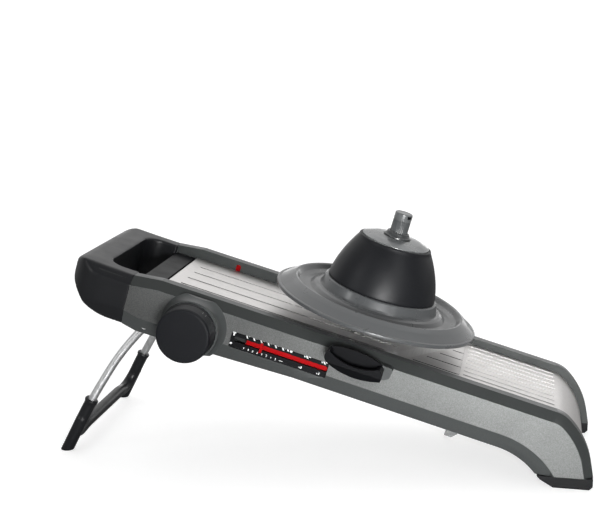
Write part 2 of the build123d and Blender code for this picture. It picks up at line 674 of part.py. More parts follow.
def comb_base():
    low_y, high_y = -50.0, 33.0
    setback = SLIT_SETBACK - 3.5
    face = make_face(Polyline((-84, low_y), (-84, high_y), (blade_edge(high_y, setback), high_y),
                              (blade_edge(low_y, setback), low_y), close=True))
    base = extrude(Pos(0, 0, COMB_REST_Z) * face, amount=2.0)
    for y in CAM_ROWS:
        base += block((-102.5, -92), (y - 4, y + 4), (COMB_REST_Z, COMB_REST_Z + 2.0))
    for x, y in GUIDE_SPOTS:
        base -= post(x, y, 2.2, COMB_REST_Z - 1, COMB_REST_Z + 4)
    for y in slit_rows():
        start = max(blade_edge(y, SLIT_SETBACK + 0.6), -125)
        base -= block((start, DECK_JOINT - 2.4), (y - 0.4, y + 0.4), (COMB_REST_Z + 0.6, COMB_REST_Z + 3))
    return base


def comb_blades():
    blades = None
    for y in slit_rows():
        start = blade_edge(y, SLIT_SETBACK + 0.6)
        blade_plate = block((start, DECK_JOINT - 2.4), (y - 0.4, y + 0.4), (COMB_REST_Z + 0.6, COMB_TOP))
        blades = blade_plate if blades is None else blades + blade_plate
    return blades


def comb_guides():
    pins = None
    for x, y in GUIDE_SPOTS:
        pin = post(x, y, 2.0, -28.5, -PLATE - 2.2)
        pins = pin if pins is None else pins + pin
    return pins


# ------------------------------------------------------------------ feet and leg
def ground_plane_block(face_points, y_low, y_high):
    """Prism whose outline is given in upright coordinates: x ahead of the deck corner, height."""
    tilt = radians(DECK_TILT)
    points = []
    for x, height in face_points:
        dx, dz = x - DECK_CORNER_X, height - DECK_CORNER_HEIGHT
        points.append((dx * cos(tilt) - dz * sin(tilt), dx * sin(tilt) + dz * cos(tilt)))
    return prism(make_face(Polyline(*points, close=True)), y_low, y_high)


def near_foot():
    outline = ((-39.5, 8.5), (-37.2, 5.4), (-27.5, 0), (-1.6, 0), (0.8, 2.4), (0.8, 8.5))
    pad = ground_plane_block(outline, -RAIL_OUT - 0.3, -RAIL_IN)
    edge = pad.faces().sort_by(Axis.Y)[0].edges()
    return chamfer([e for e in edges_low(edge)], 1.2)


def edges_low(edges):
    return [e for e in edges if e.center().Z < ground_z(e.center().X, 4.5)]


def far_foot():
    return mirror(near_foot(), about=Plane.XZ)


def leg_point(x, height, y):
    """Deck-frame point from upright coordinates."""
    tilt = radians(DECK_TILT)
    dx, dz = x - DECK_CORNER_X, height - DECK_CORNER_HEIGHT
    return (dx * cos(tilt) - dz * sin(tilt), y, dx * sin(tilt) + dz * cos(tilt))


def leg_path():
    """Centre line of the bail: down the near side, across the floor in a low arch, up the far side."""
    tilt = radians(DECK_TILT)
    pivot_height = DECK_CORNER_HEIGHT - LEG_PIVOT_X * sin(tilt) + LEG_PIVOT_Z * cos(tilt)
    pivot_x = DECK_CORNER_X + LEG_PIVOT_X * cos(tilt) + LEG_PIVOT_Z * sin(tilt)
    side = [(pivot_x, pivot_height, LEG_TOP_Y), (-356.5, 82, LEG_TOP_Y + 1.4),
            (*LEG_SLEEVE_TOP, LEG_FOOT_Y - 1.8), (-396.6, LEG_CORNER_HEIGHT, LEG_FOOT_Y),
            (-394.8, LEG_ARCH_HEIGHT, 40)]
    near = [leg_point(x, h, -y) for x, h, y in side]
    far = [leg_point(x, h, y) for x, h, y in reversed(side)]
    radii = [170, 250, 14, 40, 40, 14, 250, 170]
    return FilletPolyline(*near, *far, radius=radii)


def leg_bail():
    path = leg_path()
    tube = sweep(Plane(origin=path @ 0, z_dir=path % 0) * Circle(LEG_TUBE_R), path=path)
    knuckle = rod(LEG_PIVOT_X, LEG_PIVOT_Z, 5.0, -LEG_TOP_Y - 3.6, -LEG_TOP_Y + 3.6)
    hole = rod(LEG_PIVOT_X, LEG_PIVOT_Z, 2.05, -LEG_TOP_Y - 6, -LEG_TOP_Y + 6)
    return tube + both_sides(knuckle) - both_sides(hole)


def leg_pins():
    return both_sides(rod(LEG_PIVOT_X, LEG_PIVOT_Z, 2.0, -RAIL_OUT + 3.2, -51.6))


def leg_foot():
    """Rubber over the lower part of the bail, with a lip on top and a flat sole under each corner."""
    path = leg_path()
    body = sweep(Plane(origin=path @ 0, z_dir=path % 0) * Circle(LEG_SLEEVE_R), path=path)
    sleeve_top = leg_point(*LEG_SLEEVE_TOP, 0)
    corner = leg_point(-397.3, 7.2, 0)
    along = degrees(atan2(sleeve_top[2] - corner[2], sleeve_top[0] - corner[0]))
    keep = Pos(sleeve_top[0], 0, sleeve_top[2]) * Rot(0, -along, 0) * (Pos(-100, 0, 0) * Box(200, 300, 200))
    toe = Pos(corner[0], -LEG_FOOT_Y, corner[2]) * Rot(0, 90 - along, 0) * Cylinder(LEG_SLEEVE_R, 44)
    lip = Pos(sleeve_top[0], -LEG_FOOT_Y + 1.8, sleeve_top[2]) * Rot(0, 90 - along, 0)
    lip *= Cylinder(LEG_SLEEVE_R + 0.7, 5)
    body = (body & keep) + both_sides((toe + lip) & keep)
    floor = Plane(origin=leg_point(-380, 0, 0), x_dir=(1, 0, 0), z_dir=(0, 0, 1))
    below = floor * Rot(0, -DECK_TILT, 0) * (Pos(0, 0, -50) * Box(300, 300, 100))
    return body - below - leg_bail()


# ------------------------------------------------------------------ guard and its plunger
def on_guard(part):
    return Pos(GUARD_X, 0, GUARD_Z) * part


def turned(points):
    """Solid of revolution about the guard's axis, from (radius, height) points."""
    return revolve(Plane.XZ * make_face(Polyline(*points, close=True)), Axis.Z)


def guard_shell():
    """Brim, collar, dome and guide sleeve, moulded in one piece."""
    top = CROWN_TOP_Z
    rim = [(78.8, 1.5), (69.0, 8.2), (66.4, 8.8), (61.5, 4.4), (54.0, 3.8), (49.6, 6.4), (46.6, 8.0),
           (44.5, CROWN_BASE_Z)]
    dome = [(DOME_R, CROWN_BASE_Z), (27.2, top), (9.2, top), (9.2, 30), (7.2, 30), (7.2, 28), (11.2, 28)]
    inside = [(11.2, top - 2), (25.0, top - 2), (38.4, CROWN_BASE_Z - 1), (42.3, CROWN_BASE_Z - 2.5)]
    under = [(44.4, 6.4), (48.6, 4.4), (53.4, 1.8), (62.2, 2.4), (66.8, 6.4), (68.0, 6.2), (78.3, -0.7)]
    shell = turned(rim + dome + inside + under) + Torus(78.8, BRIM_R - 78.8)
    return on_guard(shell)


def crown_grip():
    """Soft sleeve over the dome, a little barrel-shaped."""
    base, top = CROWN_BASE_Z, CROWN_TOP_Z
    middle = ((CROWN_R + CROWN_TOP_R) / 2 + CROWN_BULGE, (base + top) / 2)
    side = ThreePointArc((CROWN_R, base), middle, (CROWN_TOP_R, top))
    face = make_face([side, Polyline((CROWN_TOP_R, top), (27.2, top), (DOME_R, base), (CROWN_R, base))])
    return on_guard(revolve(Plane.XZ * face, Axis.Z))


def crown_cap():
    base = CROWN_TOP_Z
    dome = ThreePointArc((28.8, base + 1.0), (20.5, base + 3.1), (11.5, base + 4.1))
    face = make_face([Line((7.5, base), (28.8, base)), Line((28.8, base), (28.8, base + 1.0)), dome,
                      Line((11.5, base + 4.1), (7.5, base + 4.1)), Line((7.5, base + 4.1), (7.5, base))])
    return on_guard(revolve(Plane.XZ * face, Axis.Z))


def stem_collar():
    low, high = CROWN_TOP_Z + 4.1, CROWN_TOP_Z + 8.1
    return on_guard(turned([(7.5, low), (10.2, low), (10.2, low + 1.2), (8.6, high), (7.5, high)]))


def plunger_stem():
    shaft = [(STEM_R, 32.5), (STEM_R, STEM_KNOB_Z), (0, STEM_KNOB_Z)]
    return on_guard(turned([(0, 9), (STEM_R, 9), (STEM_R, 30.3), (8.9, 30.3), (8.9, 32.5)] + shaft))


def stem_knob():
    base, top = STEM_KNOB_Z, STEM_TOP_Z
    knob = turned([(0, base), (STEM_R, base), (STEM_R, top - 0.6), (STEM_R - 0.6, top), (0, top)])
    notch = Rot(0, 0, -40) * (Pos(6.6, 0, top - 2.6) * Box(1.6, 4, 2.0))
    return on_guard(knob - notch)


def pusher_plate():
    plate = turned([(0, 6), (PUSHER_R, 6), (PUSHER_R, 8), (12, 9), (0, 9)])
    return on_guard(plate)


def prongs():
    group = None
    for i in range(8):
        turn = radians(25 + 45 * i)
        pin = turned([(0, PRONG_TIP_Z), (0.9, PRONG_TIP_Z + 4), (0.9, 6), (0, 6)])
        pin = Pos(27 * cos(turn), 27 * sin(turn), 0) * pin
        group = pin if group is None else group + pin
    return on_guard(group)


def guard_spring():
    coil_r, wire_r, low, high = 13.2, 0.6, 9.9, CROWN_TOP_Z - 2.8
    line = Pos(0, 0, low) * Helix(pitch=(high - low) / 6, height=high - low, radius=coil_r)
    wire = sweep(Plane(origin=line @ 0, z_dir=line % 0) * Circle(wire_r), path=line, is_frenet=True)
    return on_guard(wire)


# ------------------------------------------------------------------ assembly
NODES = (near_rail, far_rail, frame_screws, rear_bridge, handle_core, handle_grip, deck_frame,
         front_crossbar, landing_plate, blade_insert, blade, comb_guides, scale_panel, dial_boss,
         near_foot, far_foot, leg_pins,
         dial_knob, dial_washer, dial_shaft, near_pinion, far_pinion,
         near_cam_bar, depth_pointer, far_cam_bar, ramp_plate, ramp_carrier, ramp_pins,
         selector_wing, selector_hub, selector_pinion, selector_rack, comb_shaft, comb_pinion, comb_cams,
         comb_base, comb_blades, leg_bail, leg_foot,
         guard_shell, crown_grip, crown_cap, stem_collar, guard_spring,
         plunger_stem, stem_knob, pusher_plate, prongs)

TILTED = Pos(DECK_CORNER_X, 0, DECK_CORNER_HEIGHT) * Rot(0, DECK_TILT, 0)


def build():
    """All nodes standing on z = 0, centred on x = y = 0 by their common box."""
    placed = {node.__name__: TILTED * node() for node in NODES}
    boxes = [part.bounding_box() for part in placed.values()]
    x_low, x_high = min(b.min.X for b in boxes), max(b.max.X for b in boxes)
    y_low, y_high = min(b.min.Y for b in boxes), max(b.max.Y for b in boxes)
    shift = Pos(-(x_low + x_high) / 2, -(y_low + y_high) / 2, -min(b.min.Z for b in boxes))
    return {name: shift * part for name, part in placed.items()}, shift


def main():
    os.makedirs("parts", exist_ok=True)
    nodes, shift = build()
    for name, part in nodes.items():
        export_step(part, f"parts/{name}.step")
    print("nodes", len(nodes), "shift", shift.position)


if __name__ == "__main__":
    main()
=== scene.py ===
import json
from math import atan2, cos, pi, radians, sin, tan

import bmesh
import bpy
from mathutils import Matrix, Vector


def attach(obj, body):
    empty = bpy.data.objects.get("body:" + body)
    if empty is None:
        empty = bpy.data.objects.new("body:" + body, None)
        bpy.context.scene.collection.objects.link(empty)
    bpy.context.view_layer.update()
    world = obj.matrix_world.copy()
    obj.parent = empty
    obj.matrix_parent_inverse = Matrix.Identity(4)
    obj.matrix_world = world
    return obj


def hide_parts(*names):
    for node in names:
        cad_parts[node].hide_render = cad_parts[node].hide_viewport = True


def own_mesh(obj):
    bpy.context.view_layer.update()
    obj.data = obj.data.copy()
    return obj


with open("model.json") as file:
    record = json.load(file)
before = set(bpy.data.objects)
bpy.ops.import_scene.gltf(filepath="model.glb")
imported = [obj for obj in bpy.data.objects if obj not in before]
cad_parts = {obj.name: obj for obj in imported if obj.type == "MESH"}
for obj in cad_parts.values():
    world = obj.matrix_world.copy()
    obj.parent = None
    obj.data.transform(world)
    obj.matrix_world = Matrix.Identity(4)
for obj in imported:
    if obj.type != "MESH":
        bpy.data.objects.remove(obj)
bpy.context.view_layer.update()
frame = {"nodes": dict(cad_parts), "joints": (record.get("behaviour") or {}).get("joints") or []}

MM = 0.001

# ------------------------------------------------------------------ the deck frame of the CAD model
# Pieces are drawn in millimetres in the deck frame: X down the deck, Y across it, Z along its normal.
JOINTS = {joint["name"]: joint for joint in frame["joints"]}
ALONG = Vector(JOINTS["near_cam_slide"]["axis"])
ACROSS = Vector((0, 1, 0))
UP = Vector(JOINTS["ramp_lift"]["axis"])
DIAL = (-281.5, -90.0, -18.8)          # the dial joint in the deck frame
GUARD = (-159.3, 0.0, 21.8)            # centre of the guard's brim
PANEL_FACE = 67.7                      # outer face of the scale panel, across the deck
STEM_RADIUS = 6.85                     # the plunger's fluted shaft
NOISE_LOW, NOISE_HIGH = 0.3, 0.7       # most of a noise texture lies between these


def deck_matrix():
    """Takes deck millimetres to metres in the shared frame."""
    turn = Matrix((ALONG, ACROSS, UP)).transposed() * MM
    origin = Vector(JOINTS["dial_turn"]["pos_m"]) - turn @ Vector(DIAL)
    return Matrix.Translation(origin) @ turn.to_4x4()


DECK = deck_matrix()


# ------------------------------------------------------------------ material helpers
def shader(name, color, roughness, metallic=0.0, specular=0.5, coat=0.0):
    """A material with its Principled shader and object coordinates."""
    material = bpy.data.materials.new(name)
    material.use_nodes = True
    nodes = material.node_tree.nodes
    bsdf = nodes["Principled BSDF"]
    bsdf.inputs["Base Color"].default_value = (*color, 1)
    bsdf.inputs["Roughness"].default_value = roughness
    bsdf.inputs["Metallic"].default_value = metallic
    bsdf.inputs["Specular IOR Level"].default_value = specular
    bsdf.inputs["Coat Weight"].default_value = coat
    bsdf.inputs["Coat Roughness"].default_value = 0.1
    place = nodes.new("ShaderNodeTexCoord")
    place.name = "place"
    return material, bsdf


def noise(material, scale, detail=3.0, stretch=(1, 1, 1), tilt=0.0):
    """Noise in object space; a stretch below 1 draws the grain out along that axis."""
    nodes, links = material.node_tree.nodes, material.node_tree.links
    mapping = nodes.new("ShaderNodeMapping")
    mapping.inputs["Scale"].default_value = stretch
    mapping.inputs["Rotation"].default_value = (0, tilt, 0)
    links.new(nodes["place"].outputs["Object"], mapping.inputs["Vector"])
    texture = nodes.new("ShaderNodeTexNoise")
    texture.inputs["Scale"].default_value = scale
    texture.inputs["Detail"].default_value = detail
    links.new(mapping.outputs["Vector"], texture.inputs["Vector"])
    return texture.outputs["Fac"]


def ramp(material, factor, low, high):
    """Colour that runs from low to high with the noise."""
    nodes, links = material.node_tree.nodes, material.node_tree.links
    colors = nodes.new("ShaderNodeValToRGB")
    colors.color_ramp.elements[0].position = NOISE_LOW
    colors.color_ramp.elements[1].position = NOISE_HIGH
    colors.color_ramp.elements[0].color = (*low, 1)
    colors.color_ramp.elements[1].color = (*high, 1)
    links.new(factor, colors.inputs["Fac"])
    return colors.outputs["Color"]


def spread(material, bsdf, factor, socket, low, high):
    """Varies a numeric socket of the shader between two values with the noise."""
    nodes, links = material.node_tree.nodes, material.node_tree.links
    span = nodes.new("ShaderNodeMapRange")
    span.inputs["From Min"].default_value = NOISE_LOW
    span.inputs["From Max"].default_value = NOISE_HIGH
    span.inputs["To Min"].default_value = low
    span.inputs["To Max"].default_value = high
    links.new(factor, span.inputs["Value"])
    links.new(span.outputs["Result"], bsdf.inputs[socket])


def bump(material, bsdf, factor, depth, strength=1.0):
    """Surface relief; depth is in metres."""
    nodes, links = material.node_tree.nodes, material.node_tree.links
    relief = nodes.new("ShaderNodeBump")
    relief.inputs["Distance"].default_value = depth
    relief.inputs["Strength"].default_value = strength
    links.new(factor, relief.inputs["Height"])
    links.new(relief.outputs["Normal"], bsdf.inputs["Normal"])


def shade(color, amount):
    """The colour made darker or lighter, kept within 0 to 1."""
    return tuple(max(0.0, min(1.0, c * amount)) for c in color)


def plastic(name, color, roughness, grain, depth, speckle, coat=0.0, specular=0.5, metallic=0.0):
    """Moulded plastic with a fine spark-eroded texture."""
    material, bsdf = shader(name, color, roughness, metallic, specular, coat)
    links = material.node_tree.links
    fine = noise(material, grain, 2.0)
    tint = ramp(material, fine, shade(color, 1 - speckle), shade(color, 1 + speckle))
    links.new(tint, bsdf.inputs["Base Color"])
    spread(material, bsdf, noise(material, 60.0, 3.0), "Roughness", roughness - 0.04, roughness + 0.05)
    bump(material, bsdf, fine, depth)
    return material


def steel(name, color, low, high, stretch, scale, depth):
    """Brushed steel; the grain is drawn out along the axis with the smallest stretch."""
    material, bsdf = shader(name, color, low, metallic=1.0)
    links = material.node_tree.links
    tilt = -atan2(ALONG.z, ALONG.x)
    grain = noise(material, scale, 4.0, stretch, tilt)
    tint = ramp(material, grain, shade(color, 0.9), shade(color, 1.06))
    links.new(tint, bsdf.inputs["Base Color"])
    spread(material, bsdf, grain, "Roughness", low, high)
    bump(material, bsdf, grain, depth, 0.6)
    return material


# Rail facets: the band's dark tone is its own colour, but the upper, lower, top and inner facets are one
# grey plastic set to the brightness each shows, so their differences are partly painted light and shade.
BODY_UPPER = plastic("body_upper_facet", (0.140, 0.144, 0.142), 0.40, 1700.0, 0.00002, 0.20, metallic=0.85)
BODY_BAND = plastic("body_band", (0.026, 0.0285, 0.028), 0.34, 3000.0, 0.00001, 0.08, specular=0.4)
BODY_LOWER = plastic("body_lower_facet", (0.072, 0.077, 0.077), 0.42, 2400.0, 0.00001, 0.10, metallic=0.4)
BODY_TOP = plastic("body_top", (0.046, 0.050, 0.050), 0.36, 2600.0, 0.00001, 0.08, specular=0.4)
BODY_INNER = plastic("body_inner", (0.038, 0.042, 0.041), 0.5, 2600.0, 0.00002, 0.1, specular=0.3)
RUBBER = plastic("soft_black_grip", (0.0095, 0.0100, 0.0115), 0.38, 3200.0, 0.000012, 0.2, specular=0.3)
DIAL_BLACK = plastic("dial_rubber", (0.0072, 0.0078, 0.0095), 0.50, 3600.0, 0.000012, 0.2, specular=0.15)
CROWN = plastic("crown_rubber", (0.0080, 0.0085, 0.0100), 0.42, 3000.0, 0.00001, 0.2, specular=0.22)
BLACK = plastic("black_plastic", (0.0045, 0.0048, 0.0056), 0.42, 2800.0, 0.00001, 0.15, specular=0.12)
FOOT = plastic("foot_rubber", (0.0055, 0.0058, 0.0065), 0.5, 2400.0, 0.00001, 0.2, specular=0.15)
WING = plastic("selector_rubber", (0.0035, 0.0038, 0.0046), 0.46, 2800.0, 0.00001, 0.15, specular=0.08)
COLLAR = plastic("dark_collar", (0.035, 0.037, 0.038), 0.30, 2600.0, 0.00001, 0.1)
INNER = plastic("inner_acetal", (0.020, 0.0215, 0.0215), 0.42, 2400.0, 0.00001, 0.1, specular=0.3)
GUARD_GREY = plastic("guard_plastic", (0.058, 0.061, 0.063), 0.30, 3000.0, 0.000001, 0.04, coat=0.2)
CAP = plastic("guard_cap_plastic", (0.105, 0.110, 0.112), 0.28, 3000.0, 0.000003, 0.05, coat=0.3)
STEM = plastic("stem_plastic", (0.062, 0.066, 0.068), 0.28, 3000.0, 0.000003, 0.05, coat=0.3)
KNOB = plastic("stem_knob_plastic", (0.095, 0.100, 0.102), 0.30, 3000.0, 0.000003, 0.05, coat=0.3)
RED = plastic("red_plastic", (0.30, 0.0010, 0.0025), 0.34, 2000.0, 0.000002, 0.1, specular=0.12)
PRINT = plastic("white_print", (0.72, 0.73, 0.73), 0.5, 2000.0, 0.000004, 0.06)
PLATE = steel("plate_steel", (0.64, 0.625, 0.615), 0.40, 0.46, (0.015, 1, 1), 700.0, 0.0000008)
BLADE = steel("blade_steel", (0.70, 0.69, 0.68), 0.32, 0.40, (1, 0.05, 1), 900.0, 0.000001)
# Painted shade: the rib sides get a darker copy of the plate steel, so each rib shows a shadow line.
RIB_SIDE_SHADE = steel("rib_side_painted_shade_steel", (0.42, 0.415, 0.41), 0.45, 0.5, (0.015, 1, 1), 700.0, 0.0000008)
# Painted shade: near-black on the blade insert's slit walls stands in for the dark inside the slits.
SLIT_WALL_SHADE = plastic("slit_wall_painted_shade", (0.010, 0.0098, 0.0095), 0.6, 2500.0, 0.000004, 0.3, specular=0.1)
COMB = steel("comb_steel", (0.22, 0.22, 0.22), 0.35, 0.45, (1, 1, 0.05), 900.0, 0.000001)
ROD = steel("rod_steel", (0.78, 0.785, 0.79), 0.34, 0.46, (1, 1, 0.2), 700.0, 0.000002)
SCREW = steel("zinc_screw", (0.50, 0.50, 0.48), 0.25, 0.4, (1, 1, 1), 1200.0, 0.000006)

NODE_MATERIALS = {
    BODY_INNER: ["front_crossbar"],
    BLACK: ["rear_bridge", "scale_panel"],
    RUBBER: ["handle_grip", "dial_knob", "leg_foot", "crown_grip"],
    FOOT: ["near_foot", "far_foot"],
    WING: ["selector_wing"],
    INNER: ["handle_core", "deck_frame", "near_pinion", "far_pinion", "ramp_carrier", "selector_pinion",
            "selector_rack", "comb_pinion", "comb_cams", "comb_base", "near_cam_bar"],
    BODY_TOP: ["dial_boss", "selector_hub"],
    RED: ["far_cam_bar", "depth_pointer", "ramp_pins"],
    PLATE: ["landing_plate", "blade_insert", "ramp_plate"],
    BLADE: ["blade"],
    COMB: ["comb_blades"],
    ROD: ["comb_guides", "leg_pins", "dial_shaft", "comb_shaft", "leg_bail", "prongs"],
    SCREW: ["frame_screws", "dial_washer", "guard_spring"],
    GUARD_GREY: ["guard_shell", "crown_cap", "stem_collar", "plunger_stem", "stem_knob", "pusher_plate"],
}


def dress_nodes():
    """Gives each CAD node its one material."""
    for material, names in NODE_MATERIALS.items():
        for name in names:
            mesh = frame["nodes"][name].data
            mesh.materials.clear()
            mesh.materials.append(material)


# ------------------------------------------------------------------ rails: one material for each facet, their tones partly painted light and shade
RAIL_MATERIALS = [BODY_UPPER, BODY_BAND, BODY_LOWER, BODY_TOP, BODY_INNER]
UPPER_SLOT, BAND_SLOT, LOWER_SLOT, TOP_SLOT, INNER_SLOT = range(5)
RAIL_SIDE = 63.4                       # faces closer to the middle than this are not on the outer side


def dress_rail(name, side):
    """Sorts the faces of a rail by where they look, giving up, down, out and in faces their own tone,
    which paints in part of their light and shade; side is -1 for the near rail.
    """
    mesh = frame["nodes"][name].data
    mesh.materials.clear()
    for material in RAIL_MATERIALS:
        mesh.materials.append(material)
    back = DECK.inverted()
    for face in mesh.polygons:
        place = back @ face.center
        normal = (back.to_3x3() @ face.normal).normalized()
        out = normal.y * side
        if side * place.y < RAIL_SIDE or out < -0.2:
            slot = TOP_SLOT if normal.z > 0.5 or normal.x > 0.5 else INNER_SLOT
        elif out > 0.98:
            slot = UPPER_SLOT
        elif out > 0.3:
            slot = LOWER_SLOT if normal.z < -0.25 else BAND_SLOT
        else:
            slot = TOP_SLOT if normal.z > 0 else INNER_SLOT
        face.material_index = slot


def dress_edges(name, material, lowest):
    """Gives the faces that look across the deck another material, above a deck height in millimetres; here
    that material is painted shade on the slit walls and rib sides.
    """
    mesh = frame["nodes"][name].data
    mesh.materials.append(material)
    back = DECK.inverted()
    for face in mesh.polygons:
        normal = (back.to_3x3() @ face.normal).normalized()
        if abs(normal.y) > 0.5 and (back @ face.center).z > lowest:
            face.material_index = 1


dress_nodes()
dress_rail("near_rail", -1)
dress_rail("far_rail", 1)
# Painted shade: near-black slit walls on the blade insert, darker steel on the rib sides of the two
# plates.
dress_edges("blade_insert", SLIT_WALL_SHADE, -5)
# Painted shade on the rib sides of the landing plate and the ramp plate.
dress_edges("landing_plate", RIB_SIDE_SHADE, -0.05)
dress_edges("ramp_plate", RIB_SIDE_SHADE, -2.79)


# ------------------------------------------------------------------ mesh helpers
def rounded(corners, steps=5):
    """Points of an open outline; each corner is (u, v, radius) and is turned with an arc."""
    points = [Vector(corners[0][:2])]
    for before, here, after in zip(corners, corners[1:], corners[2:]):
        corner = Vector(here[:2])
        back = Vector(before[:2]) - corner
        ahead = Vector(after[:2]) - corner
        turn = back.angle(ahead)
        reach = min(here[2] / max(tan(turn / 2), 1e-3), back.length * 0.48, ahead.length * 0.48)
        start = corner + back.normalized() * reach
        end = corner + ahead.normalized() * reach
        for i in range(steps + 1):
            t = i / steps
            points.append(start * (1 - t) ** 2 + corner * 2 * t * (1 - t) + end * t * t)
    points.append(Vector(corners[-1][:2]))
    return points


def spun(outline, place, segments=160):
    """Closed surface of revolution; place maps (radius, height, angle) to a deck point."""
    mesh = bmesh.new()
    turns = [2 * pi * i / segments for i in range(segments)]
    rings = []
    for radius, height in outline:
        if radius < 1e-6:
            rings.append([mesh.verts.new(place(0, height, 0))])
        else:
            rings.append([mesh.verts.new(place(radius, height, turn)) for turn in turns])
    for one, two in zip(rings, rings[1:] + rings[:1]):
        if len(one) == 1 and len(two) == 1:
            continue
        for i in range(segments):
            j = (i + 1) % segments
            loop = [one[i % len(one)], one[j % len(one)], two[j % len(two)], two[i % len(two)]]
            loop = [v for k, v in enumerate(loop) if v not in loop[:k]]
            if len(loop) > 2:
                mesh.faces.new(loop)
    return mesh


def on_guard(radius, height, angle):
    """Height is measured from the centre of the brim, up the plunger."""
    return (GUARD[0] + radius * cos(angle), radius * sin(angle), GUARD[2] + height)


def on_dial(radius, depth, angle):
    """Depth is measured outwards from the centre line, towards the near side."""
    return (DIAL[0] + radius * cos(angle), -depth, DIAL[2] + radius * sin(angle))


def add_piece(name, mesh, material, body, crease=40.0, replaced=()):
    """Turns a bmesh in deck millimetres into an object that rides on a body."""
    mesh.transform(DECK)
    bmesh.ops.remove_doubles(mesh, verts=mesh.verts, dist=1e-7)
    bmesh.ops.recalc_face_normals(mesh, faces=mesh.faces)
    data = bpy.data.meshes.new(name)
    mesh.to_mesh(data)
    mesh.free()
    data.polygons.foreach_set("use_smooth", [True] * len(data.polygons))
    data.set_sharp_from_angle(angle=radians(crease))
    data.materials.append(material)
    piece = bpy.data.objects.new(name, data)
    bpy.context.scene.collection.objects.link(piece)
    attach(piece, body)
    if replaced:
        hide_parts(*replaced)


def prism(mesh, outline, depth_in, depth_out):
    """Adds a prism to a bmesh: the outline is (x, z) on the near side, between two depths across."""
    inner = [mesh.verts.new((x, -depth_in, z)) for x, z in outline]
    outer = [mesh.verts.new((x, -depth_out, z)) for x, z in outline]
    mesh.faces.new(outer)
    mesh.faces.new(inner[::-1])
    for i in range(len(outline)):
        j = (i + 1) % len(outline)
        mesh.faces.new((inner[i], inner[j], outer[j], outer[i]))


def quads(mesh, one, two):
    """Joins two rows of vertices with a strip of faces."""
    for i in range(len(one) - 1):
        mesh.faces.new((one[i], one[i + 1], two[i + 1], two[i]))


def wedge(mesh, place, heights, radii, turns):
    """Adds a block that follows an arc; place maps (radius, height, angle in degrees) to a deck point."""
    rows = []
    for height in heights:
        for radius in radii:
            rows.append([mesh.verts.new(place(radius, height, radians(turn))) for turn in turns])
    a, b, c, d = rows
    for one, two in ((a, b), (b, d), (d, c), (c, a)):
        quads(mesh, one, two)
    mesh.faces.new((a[0], b[0], d[0], c[0]))
    mesh.faces.new((a[-1], c[-1], d[-1], b[-1]))


# ------------------------------------------------------------------ guard
def guard_brim():
    """Rolled lip, outer slope, crest, recess and the collar that the soft crown sits on."""
    upper = [(79.0, -1.4, 0), (80.3, -1.3, 0.9), (80.3, 1.3, 0.9), (78.8, 1.75, 0.3),
             (78.2, 1.5, 0.4), (72.0, 6.2, 9.0), (67.6, 9.1, 1.4), (65.9, 8.2, 0.9),
             (63.6, 5.2, 2.0), (59.5, 3.6, 3.0), (54.6, 3.9, 2.0), (51.6, 6.2, 1.6),
             (49.0, 7.3, 1.2), (47.4, 7.2, 0.8), (46.4, 9.2, 1.4), (44.6, 14.6, 0.5),
             (43.9, 15.4, 0.4), (41.2, 15.5, 0)]
    dome = [(41.2, 15.5, 0), (27.2, 53.4, 0), (9.2, 53.4, 0), (9.2, 51.4, 0), (25.0, 51.4, 0),
            (38.6, 14.4, 0), (41.2, 13.2, 0)]
    lower = [(41.2, 13.2, 0), (44.0, 6.6, 1.0), (48.4, 4.6, 1.5), (53.2, 1.9, 3.0),
             (62.4, 2.5, 3.0), (67.4, 6.6, 1.0), (77.8, -0.3, 1.0), (78.6, -1.3, 0)]
    outline = rounded(upper) + rounded(dome, 1)[1:-1] + rounded(lower)
    add_piece("guard_brim", spun(outline, on_guard, 256), GUARD_GREY, "guard", 35, ["guard_shell"])


def guard_crown():
    """Soft sleeve: a little barrel-shaped, with a rounded shoulder."""
    base, top, bulge = 15.55, 53.5, 2.2
    side = []
    for i in range(25):
        t = i / 24
        radius = 43.0 + (29.0 - 43.0) * t + bulge * 4 * t * (1 - t)
        side.append((radius, base + (top - 1.6 - base) * t))
    shoulder = [(side[-1][0], side[-1][1], 0), (28.6, 53.6, 1.6), (27.3, 54.0, 0.5), (26.7, 53.5, 0)]
    foot = [(40.7, 15.6, 0), (42.7, 15.6, 0.3), (side[0][0], side[0][1] + 0.5, 0)]
    outline = [Vector(p) for p in rounded(foot)[:-1]] + [Vector(p) for p in side[1:-1]] + rounded(shoulder)
    add_piece("guard_crown", spun(outline, on_guard, 256), CROWN, "guard", 60, ["crown_grip"])


def guard_cap():
    """Low dome inside the crown, with a ring step around the collar."""
    dome = [(7.3, 53.5, 0), (26.6, 53.5, 0), (26.6, 54.6, 0.6), (20.0, 56.8, 12.0),
            (12.5, 57.6, 4.0), (11.0, 57.55, 0.3), (10.8, 57.2, 0.3), (7.3, 57.2, 0)]
    add_piece("guard_cap", spun(rounded(dome, 8), on_guard), CAP, "guard", 35, ["crown_cap"])


def guard_collar():
    """Stepped collar that guides the plunger."""
    ring = [(7.3, 57.3, 0), (10.6, 57.3, 0.3), (10.5, 58.7, 0.5), (9.7, 59.1, 0.3),
            (8.9, 60.4, 1.2), (8.7, 61.2, 0.4), (8.0, 61.6, 0.3), (7.3, 61.5, 0)]
    add_piece("guard_collar", spun(rounded(ring), on_guard), COLLAR, "guard", 35, ["stem_collar"])


